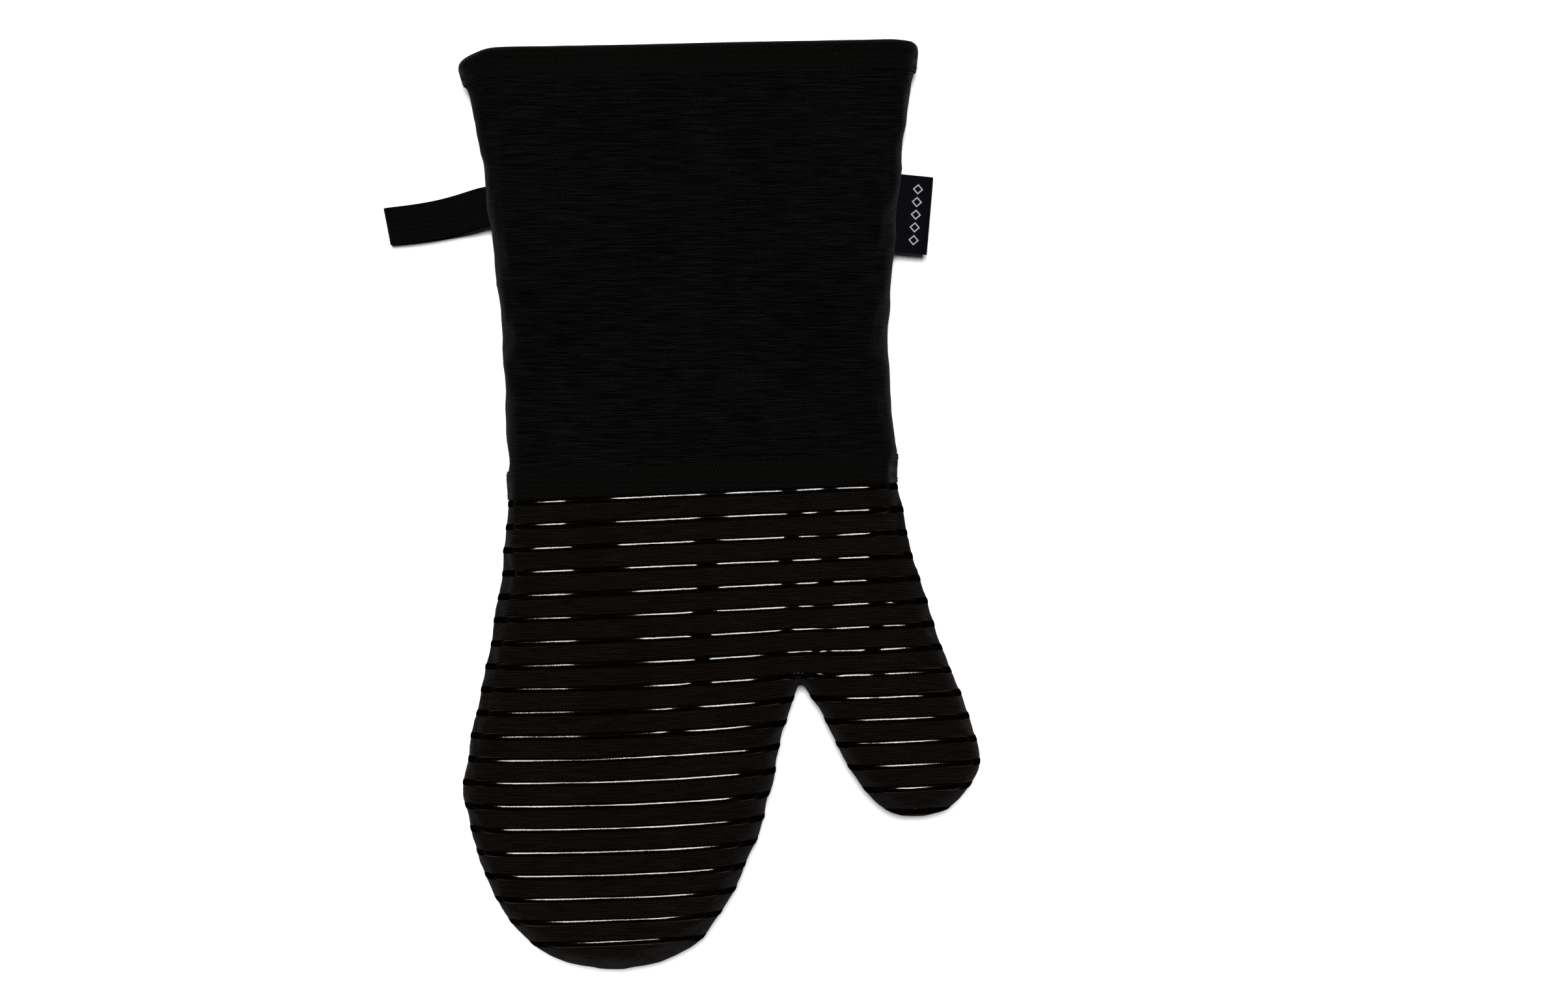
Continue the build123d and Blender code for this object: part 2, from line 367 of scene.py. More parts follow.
def spun_thread():
    """Two-ply sewing thread, with the grooves between its plies painted darker as painted shade."""
    finish = Finish("thread", Roughness=0.8, Specular_IOR_Level=0.03)
    across, along, vector = finish.solid()
    ply = (across + along).wave(0.35 * MM)
    # Colour follows the ply's height: the grooves between plies are painted shade.
    finish.colours(ply, (0.0006, 0.0006, 0.0006), (0.004, 0.0037, 0.0035))
    finish.relief(ply, 0.05 * MM)
    return finish.material


def satin(name, dark, light, rough):
    """Fine woven satin for the label and its motif."""
    finish = Finish(name, Specular_IOR_Level=0.02)
    across, along, vector = finish.surface()
    floats = (along + across * 0.25).wave(0.28 * MM)
    fuzz = finish.cloud(vector, 1.2 * MM, (1, 0.4, 1))
    finish.colours(floats * 0.6 + fuzz * 0.4, dark, light)
    finish.roughness(fuzz * 0.2 + rough)
    finish.relief(floats, 0.03 * MM)
    return finish.material


def felted():
    """Pale loose fibres."""
    finish = Finish("wadding", Roughness=0.95, Specular_IOR_Level=0.1)
    vector = finish.solid()[2]
    fibres = finish.cloud(vector, 2.5 * MM, detail=6.0)
    finish.colours(fibres, (0.5, 0.49, 0.46), (0.8, 0.79, 0.76))
    finish.relief(fibres, 0.5 * MM)
    return finish.material


def table_top():
    """Plain pale table."""
    finish = Finish("table_top", Roughness=0.9, Specular_IOR_Level=0.1)
    vector = finish.solid()[2]
    finish.colours(finish.cloud(vector, 0.4), (0.93, 0.93, 0.93), (0.95, 0.95, 0.95))
    return finish.material


TAPE_CLOTH, SILICONE, THREAD, WOOL = herringbone(), silicone(), spun_thread(), felted()
LABEL_SATIN = satin("label_satin", (0.0004, 0.0004, 0.0010), (0.0022, 0.0022, 0.0036), 0.6)
LABEL_THREAD = satin("label_thread", (0.20, 0.20, 0.24), (0.36, 0.36, 0.42), 0.6)
table.data.materials.append(table_top())
print("materials so far:", len(bpy.data.materials))

# %% [markdown]
# ## The soft body
# All the cloth layers follow one form, the outside of the padded wall. The frame's wadding
# holds it, in rigid pieces with small gaps. Voxel remeshing joins them into one skin of even
# squares. It also makes an inner skin, the pocket, so the rim at the mouth is cut off and the
# larger of the two loose skins is kept.

# %% One skin from the wadding's solids
VOXEL = 2.8 * MM


def link(name, form):
    """Makes an object of a finished bmesh, and frees the bmesh."""
    mesh = bpy.data.meshes.new(name)
    form.to_mesh(mesh)
    form.free()
    return in_scene(name, mesh)


def baked(piece):
    """Writes what the piece's modifiers make into its own mesh."""
    graph = bpy.context.evaluated_depsgraph_get()
    mesh = bpy.data.meshes.new_from_object(piece.evaluated_get(graph))
    piece.modifiers.clear()
    piece.data = mesh
    return piece


def cut(form, point, normal, drop_outer=False, faces=None):
    """Cuts along a plane, and can drop the side that the normal points to."""
    faces = form.faces[:] if faces is None else faces
    edges = {edge for face in faces for edge in face.edges}
    verts = {vert for face in faces for vert in face.verts}
    return bmesh.ops.bisect_plane(form, geom=[*faces, *edges, *verts], dist=1e-7,
                                  plane_co=point, plane_no=normal, clear_outer=drop_outer)


def largest_island(form):
    """Keeps the loose piece with the widest span and deletes the others."""
    islands, seen = [], set()
    for face in form.faces:
        if face in seen:
            continue
        island, edge_of_search = [], [face]
        seen.add(face)
        while edge_of_search:
            here = edge_of_search.pop()
            island.append(here)
            for edge in here.edges:
                for other in edge.link_faces:
                    if other not in seen:
                        seen.add(other)
                        edge_of_search.append(other)
        islands.append(island)
    spans = []
    for island in islands:
        across = [face.calc_center_median().x for face in island]
        spans.append(max(across) - min(across))
    keep = islands[spans.index(max(spans))]
    kept = set(keep)
    bmesh.ops.delete(form, geom=[f for f in form.faces if f not in kept], context="FACES")


def soft_body():
    """The skin over the wadding and lining, open at the mouth."""
    form = bmesh.new()
    for name, node in frame["nodes"].items():
        if name.endswith("wadding") or name.endswith("lining"):
            form.from_mesh(node.data)
    bmesh.ops.remove_doubles(form, verts=form.verts, dist=1e-6)
    body = link("soft_body", form)
    remesh = body.modifiers.new("voxels", "REMESH")
    remesh.mode = "VOXEL"
    remesh.voxel_size = VOXEL
    remesh.adaptivity = 0.0
    baked(body)
    form = bmesh.new()
    form.from_mesh(body.data)
    mouth = Vector((0, MOUTH_Y - TAPE - 1.5 * VOXEL, 0))
    cut(form, mouth, (-math.sin(MOUTH_LEAN), math.cos(MOUTH_LEAN), 0), drop_outer=True)
    largest_island(form)
    bmesh.ops.recalc_face_normals(form, faces=form.faces)
    form.to_mesh(body.data)
    form.free()
    return body


body = soft_body()
print("soft body faces:", len(body.data.polygons), "box:", [round(v / MM, 1) for v in body.dimensions])

# %% [markdown]
# The skin is pushed out from the wadding to the face of the cloth. Then the cloth is blown up
# a little by a cloth simulation: its seam is pinned, its yarn is given two and a half percent
# of spare length, and gentle pressure makes it belly and pucker as quilted cloth does. How far
# a point may move is limited, so the mitt keeps its size.

# %% Puckered cloth
FRAMES = 20
PRESSURE = 3.0
SPARE_CLOTH = -0.025
FARTHEST_MOVE = 2.2 * MM
SEAM_BAND = 2.0 * MM


def pushed_out(piece, distance):
    """Moves every point along its normal."""
    normals = [vert.normal.copy() for vert in piece.data.vertices]
    for vert, normal in zip(piece.data.vertices, normals):
        vert.co += normal * distance


def puckered(piece):
    """Blows the closed skin up a little, with its side seam held."""
    form = bmesh.new()
    form.from_mesh(piece.data)
    bmesh.ops.holes_fill(form, edges=[edge for edge in form.edges if edge.is_boundary], sides=0)
    bmesh.ops.triangulate(form, faces=[face for face in form.faces if len(face.verts) > 4])
    balloon = link("balloon", form)
    held = balloon.vertex_groups.new(name="held")
    mouth = MOUTH_Y - TAPE - 3 * VOXEL
    held.add([v.index for v in balloon.data.vertices
              if abs(v.co.z - SEAM_Z) < SEAM_BAND or v.co.y > mouth], 1.0, "REPLACE")
    cloth = balloon.modifiers.new("cloth", "CLOTH")
    cloth.settings.quality = 4
    cloth.settings.mass = 0.2
    cloth.settings.tension_stiffness = 25
    cloth.settings.compression_stiffness = 12
    cloth.settings.bending_stiffness = 0.05
    cloth.settings.shrink_min = SPARE_CLOTH
    cloth.settings.use_pressure = True
    cloth.settings.uniform_pressure_force = PRESSURE
    cloth.settings.effector_weights.gravity = 0
    cloth.settings.vertex_group_mass = "held"
    cloth.collision_settings.use_collision = False
    for step in range(1, FRAMES + 1):
        scene.frame_set(step)
    baked(balloon)
    scene.frame_set(1)
    for vert, blown in zip(piece.data.vertices, balloon.data.vertices):
        move = blown.co - vert.co
        if move.length > 0:
            vert.co += move * (FARTHEST_MOVE * math.tanh(move.length / FARTHEST_MOVE) / move.length)
    bpy.data.objects.remove(balloon)


pushed_out(body, CLOTH)
puckered(body)
print("puckered box in mm:", [round(v / MM, 1) for v in body.dimensions])

# %% [markdown]
# The skin is smoothed where the solids' gaps left a line, subdivided once to the fineness of
# the stripes, and laid on the table: below the table's top there is nothing but flat cloth.

# %% Smoothed, refined and laid down
SMOOTHINGS = 2
SMOOTHING = 0.3
CLOTH_FLOOR = 0.5 * MM
PROUD_FLOOR = 0.1 * MM


def laid_down(form, floor=CLOTH_FLOOR):
    """Lifts whatever is below the table, so that it lies flat."""
    for vert in form.verts:
        vert.co.z = max(vert.co.z, floor)


coarse = bmesh.new()
coarse.from_mesh(body.data)
for _ in range(SMOOTHINGS):
    bmesh.ops.smooth_vert(coarse, verts=[vert for vert in coarse.verts if not vert.is_boundary],
                          factor=SMOOTHING, use_axis_x=True, use_axis_y=True, use_axis_z=True)
laid_down(coarse)
coarse.to_mesh(body.data)
coarse.free()
skin = body.copy()
skin.data = body.data.copy()
scene.collection.objects.link(skin)
refine = skin.modifiers.new("finer", "SUBSURF")
refine.levels = refine.render_levels = 1
baked(skin)
print("skin faces:", len(skin.data.polygons))

# %% [markdown]
# Everything sewn to the skin must follow its folds, so pieces are cut from the flat skin
# first, and the folds come last, as one warp of space that every piece goes through. Outward
# directions are averaged from the skin's nearest points, so pieces that are cut from it at
# different places still move together.

# %% Smooth steps and steady normals
NORMAL_BLUR = 1.0 * MM
NEIGHBOURS = 8


def steady_normals(source):
    """Makes a function that gives the skin's outward direction near any point."""
    tree = KDTree(len(source.data.vertices))
    for vert in source.data.vertices:
        tree.insert(vert.co, vert.index)
    tree.balance()
    normals = [vert.normal.copy() for vert in source.data.vertices]

    def near(co):
        total = Vector()
        for _, index, distance in tree.find_n(co, NEIGHBOURS):
            total += normals[index] / (distance + NORMAL_BLUR)
        return total.normalized()

    return near


def eased(value, low, high):
    """0 below low, 1 above high, and a smooth step between."""
    t = min(max((value - low) / (high - low), 0.0), 1.0)
    return t * t * (3 - 2 * t)


# %% [markdown]
# The palm lies in soft terraces between creases that run down from the wrist tape. A sum of
# waves would look like water, so each crease is a smooth step from one level to the next,
# and it wanders a little on its way.

# %% Creases of the palm
# Each crease, in mm: its place across the mitt at the wrist tape, its place at the far end,
# and the height that the cloth steps to there.
CREASES = [
    (-45, -42, -2.6), (-25, 0, 1.5), (4, 4, 1.5), (20, 10, -0.7), (39, 36, -0.7),
    (46, 44, -1.5), (52, 50, -1.5), (62, 58, -2.5), (73, 70, -2.5), (79, 77, -3.6),
]
CREASE_LENGTH = 90 * MM
CREASE_WANDER = 1.7
WANDER_PITCH = 5.3 * MM
CREASE_FADE = (-104 * MM, -78 * MM)
SHORTER_RIGHT = 20 * MM


def terrace(x, y):
    """Height of the palm's soft terraces."""
    share = min(max((TAPE_Y - y) / CREASE_LENGTH, 0.0), 1.0)
    heights = []
    for at_tape, below, step in CREASES:
        wander = CREASE_WANDER * math.sin(y / WANDER_PITCH + at_tape * 1.7)
        heights.append((at_tape + (below - at_tape) * share + wander, step))
    across = x / MM
    level = heights[0][1]
    for (near, low), (far, high) in zip(heights, heights[1:]):
        if across > near:
            level = low + (high - low) * eased(across, near, far)
    return level * MM


def crease_share(x, line_y):
    """How strong the terraces are: they fade towards the fingers and under the wrist tape."""
    shorter = SHORTER_RIGHT * eased(x, -10 * MM, 10 * MM)
    share = eased(line_y - shorter, *CREASE_FADE) * (1 - 0.3 * eased(line_y, -12 * MM, 4 * MM))
    return share * (1 - eased(line_y, 8 * MM, 40 * MM))


# %% [markdown]
# The other folds are small, and each has its own cause. Puckers fan out from the crotch,
# where cloth is sewn round a tight notch. The stripes sag across the fingers, and the left
# corner of the mouth droops. The side seam is pulled in by its thread.

# %% The warp that folds every piece
PUCKERS = 7
PUCKER_REACH = 11
NOTCH_LEAN = 0.14
NOTCH_SQUEEZE = 1.3 * MM
SEAM_GROOVE = 1.3 * MM
WAIST = 7 * MM
SAG_MIDDLE = -19 * MM
SAG_HALF = 62 * MM
SAG_START, SAG_FULL, SAG_FADE, SAG_END = 15 * MM, 105 * MM, 140 * MM, 176 * MM


def lifted(x, y, line_y, from_crotch):
    """How far the front's cloth stands up: terraces, puckers at the crotch, and long waves."""
    reach = from_crotch.length / MM
    turn = math.atan2(from_crotch.y, from_crotch.x)
    fan = 0.9 * math.cos(turn * PUCKERS + 0.6) * eased(reach, 1, 7) - 1.2
    across, along = x / MM, y / MM
    long_waves = 0.45 * math.sin(across / 13.0 + along / 31.0)
    long_waves += 0.3 * math.sin(along / 17.0 - across / 41.0)
    cuff_waves = 0.5 * MM * math.sin((along - 0.3 * x / MM) / 9.0) * eased(y, 30 * MM, 60 * MM)
    lift = terrace(x, line_y) * crease_share(x, line_y)
    lift += math.exp(-reach / PUCKER_REACH) * fan * MM
    lift += long_waves * MM
    lift += cuff_waves * math.sin(across / 23.0)
    return lift


def squeezed(x, y, reach):
    """How far the sides of the notch below the crotch close up, towards -X on the right."""
    notch_x = CROTCH.x + (CROTCH.y - y) * NOTCH_LEAN
    side = 2 * eased(x, notch_x - 3 * MM, notch_x + 3 * MM) - 1
    squeeze = NOTCH_SQUEEZE * math.exp(-((reach - 5) / 6) ** 2) * side
    return squeeze * (1 - eased(y, CROTCH.y, CROTCH.y + 6 * MM))


def drawn_in(x, y, z, line_y, side):
    """How far the side walls go in, in mm: at the seam with ripples, and under the tape."""
    groove = 0.9 * math.exp(-((z - SEAM_Z) / SEAM_GROOVE) ** 2)
    ripple = 0.28 * math.sin(y / MM / 4.1 + x / MM / 7.0) + 0.3 * math.sin(y / MM / 11.3 + 1.7)
    waist = 0.9 * math.exp(-((line_y - (TAPE_Y + TAPE_WIDTH / 2)) / WAIST) ** 2)
    return groove + ripple * abs(side.x), waist


def sagging(x, y):
    """How far the stripes sag in the middle of the fingers and rise at their edges."""
    aside = min(max((x - SAG_MIDDLE) / SAG_HALF, -1.0), 1.0)
    share = eased(-y, SAG_START, SAG_FULL) * (1 - eased(-y, SAG_FADE, SAG_END))
    share *= 1 - eased(x, 43 * MM, 60 * MM)
    return (1.9 * aside * aside - 0.3 * aside - 1.2) * share * MM


def folded(co, normal):
    """Where a point of the flat skin goes."""
    x, y, z = co
    line_y = y - x * SLOPE
    front = eased(z, SEAM_Z, HAND_TOP - 4 * MM)
    from_crotch = Vector((x - CROTCH.x, y - CROTCH.y))
    moved = Vector((x, y, z + lifted(x, y, line_y, from_crotch) * front))
    moved.x -= squeezed(x, y, from_crotch.length / MM)
    side = Vector((normal[0], normal[1], 0))
    steepness = side.length
    if steepness > 1e-6:
        side = side / steepness
        for depth in drawn_in(x, y, z, line_y, side):
            moved -= side * depth * steepness * MM
    moved.y += sagging(x, y)
    corner_droop = 4.2 * eased(-x, 70 * MM, 90 * MM) + 0.3 * eased(x, 80 * MM, 92 * MM)
    moved.y -= eased(y, 120 * MM, MOUTH_Y) * corner_droop * MM
    return moved


skin_normal = steady_normals(skin)


def fold_all(form):
    for vert in form.verts:
        vert.co = folded(vert.co, skin_normal(vert.co))


# %% [markdown]
# The weave has to stay with the cloth when the mitt folds, so each point carries its own
# cloth coordinates: its place on the flat pattern, in metres, as a UV map. Down the rounded
# sides the place on the table changes too slowly, so the drop from the top is added to it.

# %% Cloth coordinates
DROP_SHARE = 0.75


def pattern_place(co, normal):
    """Where a point of the skin lies on the flat pattern, in metres."""
    drop = max(HAND_TOP / 2 - abs(co.z - SEAM_Z), 0.0)
    return Vector((co.x, co.y)) + Vector((normal.x, normal.y)) * drop * DROP_SHARE


def lay_pattern(form):
    """Gives every face corner its cloth coordinates."""
    layer = form.loops.layers.uv.verify()
    places = {vert: pattern_place(vert.co, skin_normal(vert.co)) for vert in form.verts}
    for face in form.faces:
        face.smooth = True
        for loop in face.loops:
            loop[layer].uv = places[loop.vert]


def finished(name, form, material, thickness=None, fold=True, offset=-1):
    """Folds a form, makes it an object, and gives it its cloth's thickness, inwards unless told."""
    if fold:
        fold_all(form)
    for face in form.faces:
        face.smooth = True
    for edge in form.edges:
        edge.smooth = not edge.is_boundary
    piece = link(name, form)
    piece.data.uv_layers[0].name = "cloth"
    piece.data.materials.append(material)
    if thickness:
        wall = piece.modifiers.new("thickness", "SOLIDIFY")
        wall.thickness = thickness
        wall.offset = offset
    return piece


# %% [markdown]
# ## Cloth panels
# The skin is cut into panels where the real mitt bends in different ways: hand, thumb and cuff, each with
# a front and a back that meet at the side seam. The hand's and the thumb's cloth is one piece
# on the real mitt; it is parted on a line through the crotch that never opens, and on the real
# mitt each of the two bends at one fold only.

# %% Cutting the panels
UNDER_TAPE_Y = TAPE_Y + 4 * MM
PANEL_THICKNESS = 1.1 * MM
THUMB_OVERLAP = 8 * MM
ABOVE_THUMB_Y = 40 * MM
SIDES = {"front": -1, "back": 1}


def beyond_crotch(point):
    """Distance past the slanting line through the crotch, on the thumb's side only."""
    if point.x < CROTCH.x - 0.4 * MM:
        return -1.0
    return (point - CROTCH).dot(THUMB_ACROSS)


def drop_faces(form, test):
    """Deletes the faces whose middles pass the test."""
    doomed = [face for face in form.faces if test(face.calc_center_median())]
    bmesh.ops.delete(form, geom=doomed, context="FACES")


def copy_of(source, side=None):
    """A working copy, cut at the side seam if only one side is wanted."""
    form = bmesh.new()
    form.from_mesh(source.data)
    if side:
        cut(form, Vector((0, 0, SEAM_Z)), Vector((0, 0, SIDES[side])), drop_outer=True)
    return form


def hand_form(source, side=None):
    form = copy_of(source, side)
    cut(form, Vector((0, UNDER_TAPE_Y, 0)), UP_HAND, drop_outer=True)
    right = [face for face in form.faces if face.calc_center_median().x > CROTCH.x - 2 * MM]
    cut(form, Vector((CROTCH.x, CROTCH.y, 0)), THUMB_ACROSS, faces=right)
    drop_faces(form, lambda centre: beyond_crotch(centre) > 0)
    return form


def thumb_form(source, side=None):
    form = copy_of(source, side)
    drop_faces(form, lambda centre: centre.x < CROTCH.x - THUMB_OVERLAP or centre.y > ABOVE_THUMB_Y)
    cut(form, Vector((CROTCH.x, CROTCH.y, 0)), THUMB_ACROSS)
    drop_faces(form, lambda centre: beyond_crotch(centre) <= 0)
    return form


def cuff_form(source, side=None):
    form = copy_of(source, side)
    cut(form, Vector((0, UNDER_TAPE_Y + 1 * MM, 0)), -UP_HAND, drop_outer=True)
    return form


REGIONS = {"hand": hand_form, "thumb": thumb_form, "cuff": cuff_form}
CLOTHS = {"hand": HAND_CLOTH, "thumb": HAND_CLOTH, "cuff": CUFF_CLOTH}
BODIES = {"hand": ("palm", "fingers"), "thumb": ("thumb",), "cuff": ("cuff",)}
FINGER_ZONE = 17.4 * MM


def bends(piece, region):
    """Bakes the piece's transform into its mesh."""
    if region == "hand":
        FINGER_Y + FINGER_ZONE
        Vector((0, FINGER_Y + FINGER_ZONE, 0)) - UP_HAND * 2 * FINGER_ZONE
        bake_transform(piece)
    elif region == "thumb":
        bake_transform(piece)
    else:
        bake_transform(piece)


for region, make in REGIONS.items():
    for side in SIDES:
        form = make(skin, side)
        lay_pattern(form)
        panel = finished(f"{region}_cloth_{side}", form, CLOTHS[region], PANEL_THICKNESS)
        bends(panel, region)
        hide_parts(*[f"{name}_{side}_panel" for name in BODIES[region]])
        print(panel.name, "faces:", len(panel.data.polygons))

# %% [markdown]
# Inside, wadding and lining are the same skin, pulled in by the layers above them. They are
# cut from the coarser skin, since only the lining shows, through the mouth.

# %% Wadding and lining


def pulled_in(form, distance):
    """Moves every point inwards, or outwards if the distance is negative."""
    for vert in form.verts:
        vert.co -= skin_normal(vert.co) * distance


LAYERS = {
    "wadding": (CLOTH + 0.1 * MM, WADDING - 0.2 * MM, WOOL, "wadding"),
    "lining": (CLOTH + WADDING + 0.1 * MM, LINING, LINING_CLOTH, "lining_cloth"),
}
for region, make in REGIONS.items():
    for layer, (depth, thickness, material, slot) in LAYERS.items():
        form = make(body)
        lay_pattern(form)
        pulled_in(form, depth)
        piece = finished(f"{region}_{layer}", form, material, thickness)
        bends(piece, region)
        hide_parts(*[f"{name}_{side}_{layer}" for name in BODIES[region] for side in SIDES])
        print(piece.name, "faces:", len(piece.data.polygons))

# %% [markdown]
# ## Silicone stripes
# Each stripe is printed on the cloth and stands proud as a rounded bead. The skin is bisected
# along the bead's edges and along a few lines between them, everything else is dropped, and
# the lines are raised on a half ellipse, so the beads lie exactly on the cloth below them.
# Down the mitt's steep sides they are lower, and an attribute tells the finish to swap their shine for
# painted black shade there.

# %% Beads on the skin
BEAD_HEIGHT = 0.62 * MM
BEAD_SUNK = 0.08 * MM
BEAD_THICKNESS = 0.4 * MM
LOWER_ON_SIDES = 0.45
# Steepness over which a bead's shine gives way to painted black shade.
PAINTED_SHADE_FROM = (0.3, 0.75)
BEAD_LINES = [-1, -0.9, -0.68, -0.38, 0, 0.38, 0.68, 0.9, 1]


def stripe_offset(co):
    """Distance from the nearest stripe's middle line, in half widths, and that stripe's number."""
    along = (FIRST_STRIPE_Y + co.x * SLOPE - co.y) / STRIPE_PITCH
    number = round(along)
    return (number - along) * STRIPE_PITCH / (STRIPE_WIDTH / 2), number


def beads(form):
    """Cuts the stripes out of the skin and raises them."""
    for number in range(STRIPE_COUNT):
        middle = FIRST_STRIPE_Y - number * STRIPE_PITCH
        near = [face for face in form.faces if abs(
            face.calc_center_median().y - tilted_y(face.calc_center_median().x, middle)) < STRIPE_PITCH / 2]
        for line in BEAD_LINES:
            near = [face for face in near if face.is_valid]
            result = cut(form, Vector((0, middle + line * STRIPE_WIDTH / 2, 0)), UP_HAND, faces=near)
            halves = {item for item in result["geom"] if isinstance(item, bmesh.types.BMFace)}
            near = list(halves | set(near))

    def off_stripe(centre):
        offset, number = stripe_offset(centre)
        return abs(offset) > 1 or not 0 <= number < STRIPE_COUNT

    drop_faces(form, off_stripe)
    bmesh.ops.dissolve_degenerate(form, dist=0.01 * MM, edges=form.edges[:])
    steepness = form.verts.layers.float.new("steepness")
    for vert in form.verts:
        normal = skin_normal(vert.co)
        steep = math.hypot(normal.x, normal.y)
        offset = min(abs(stripe_offset(vert.co)[0]), 1.0)
        height = BEAD_HEIGHT * (1 - LOWER_ON_SIDES * steep)
        # How much of the bead's shine is swapped for painted black shade.
        vert[steepness] = eased(steep, *PAINTED_SHADE_FROM)
        vert.co += normal * (height * math.sqrt(1 - offset * offset) - BEAD_SUNK)


for region in ("hand", "thumb"):
    for side in SIDES:
        form = REGIONS[region](skin, side)
        beads(form)
        lay_pattern(form)
        laid_down(form, PROUD_FLOOR)
        stripes = finished(f"{region}_stripes_{side}", form, SILICONE, BEAD_THICKNESS)
        bends(stripes, region)
        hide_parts(*[f"{name}_{side}_stripes" for name in BODIES[region]])
        print(stripes.name, "faces:", len(stripes.data.polygons))

# %% [markdown]
# ## Tapes and their stitches
# The wrist tape covers the seam between hand and cuff. It is a band of the skin, raised half
# a millimetre, so it follows every fold of the cloth below it.

# %% Wrist tape
TAPE_LIFT = 0.5 * MM
for side in SIDES:
    form = copy_of(skin, side)
    cut(form, Vector((0, TAPE_Y, 0)), -UP_HAND, drop_outer=True)
    cut(form, Vector((0, WRIST_Y, 0)), UP_HAND, drop_outer=True)
    lay_pattern(form)
    pulled_in(form, -TAPE_LIFT)
    laid_down(form, PROUD_FLOOR)
    tape = finished(f"wrist_tape_{side}", form, TAPE_CLOTH, TAPE)
    bends(tape, "cuff")
    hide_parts(f"wrist_tape_{side}")
    print(tape.name, "faces:", len(tape.data.polygons))

# %% [markdown]
# Stitches are one small rounded form, repeated along a row. A row is found by rays from the
# middle of the mitt to the outside of the tape, then walked at the length of a stitch.

# %% Stitches along a row
STITCH = 2.1 * MM
STITCH_STEP = 2.9 * MM
STITCH_THICKNESS = 0.42 * MM
STITCH_INSET = 1.5 * MM
STITCH_FLOOR = 0.25 * MM
RAYS = 6000


def row_around(tree, middle_y, lean, centre_x=0.0):
    """Points and outward directions on a closed row around the mitt, one stitch apart."""
    across = Vector((math.cos(lean), math.sin(lean), 0))
    centre = Vector((centre_x, tilted_y(centre_x, middle_y, lean), SEAM_Z))
    track = []
    for step in range(RAYS):
        angle = 2 * math.pi * step / RAYS
        direction = across * math.cos(angle) + Vector((0, 0, math.sin(angle)))
        place, normal, _, _ = tree.ray_cast(centre, direction)
        if place is not None:
            track.append((place, normal if normal.dot(direction) > 0 else -normal))
    track = [(folded(place, normal), normal) for place, normal in track]
    row, walked = [track[0]], 0.0
    for (before, _), (here, normal) in zip(track, track[1:]):
        walked += (here - before).length
        if walked >= STITCH_STEP:
            row.append((here, normal))
            walked = 0.0
    return row


def stitch_row(form, row):
    """Adds one rounded stitch at every point of a row."""
    for (place, normal), (following, _) in zip(row, row[1:] + row[:1]):
        along = (following - place).normalized()
        sideways = normal.cross(along).normalized()
        turn = Matrix((along, sideways, normal)).transposed().to_4x4()
        sizes = Matrix.Diagonal((STITCH / 2, STITCH_THICKNESS / 2, STITCH_THICKNESS / 2, 1))
        middle = place + normal * 0.08 * MM
        middle.z = max(middle.z, (abs(along.z) * STITCH + STITCH_THICKNESS) / 2)
        placed = Matrix.Translation(middle) @ turn @ sizes
        bmesh.ops.create_icosphere(form, subdivisions=1, radius=1.0, matrix=placed)


def band_tree(low, high, up, lift):
    """The outside of a tape round the mitt, ready for rays."""
    form = copy_of(skin)
    cut(form, Vector((0, low, 0)), -up, drop_outer=True)
    cut(form, Vector((0, high, 0)), up, drop_outer=True)
    pulled_in(form, -lift)
    laid_down(form, STITCH_FLOOR)
    return BVHTree.FromBMesh(form)


def stitching(name, rows, node, region):
    """One piece of thread for rows of stitches; without a region it rides on the cuff."""
    form = bmesh.new()
    form.loops.layers.uv.verify()
    for row in rows:
        stitch_row(form, row)
    piece = finished(name, form, THREAD, fold=False)
    if region:
        bends(piece, region)
    else:
        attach(piece, "cuff")
    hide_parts(node)
    print(name, "stitches:", sum(len(row) for row in rows))


wrist_band = band_tree(TAPE_Y, WRIST_Y, UP_HAND, TAPE_LIFT)
wrist_lines = (TAPE_Y + STITCH_INSET, WRIST_Y - STITCH_INSET)
wrist_rows = [row_around(wrist_band, y, LEAN, 8 * MM) for y in wrist_lines]
stitching("wrist_tape_stitching", wrist_rows, "wrist_tape_stitching", "cuff")

# %% [markdown]
# The mouth's binding is tape folded over the raw edges. It starts as a band of the skin, a
# tape's thickness out. Its top edge is then extruded in short steps round a half circle and
# down the inside, so it is one continuous sheet like the real tape.

# %% Mouth binding
BINDING_Y = MOUTH_Y - BINDING_WIDTH
UP_MOUTH = Vector((-math.sin(MOUTH_LEAN), math.cos(MOUTH_LEAN), 0))
BINDING_TAPE = TAPE * 0.9
RIM_RADIUS = (CLOTH + WADDING + LINING + 2 * TAPE) / 2
RIM_ROOM = 1.2 * MM
RIM_STEPS = 8
INSIDE_STEPS = 3


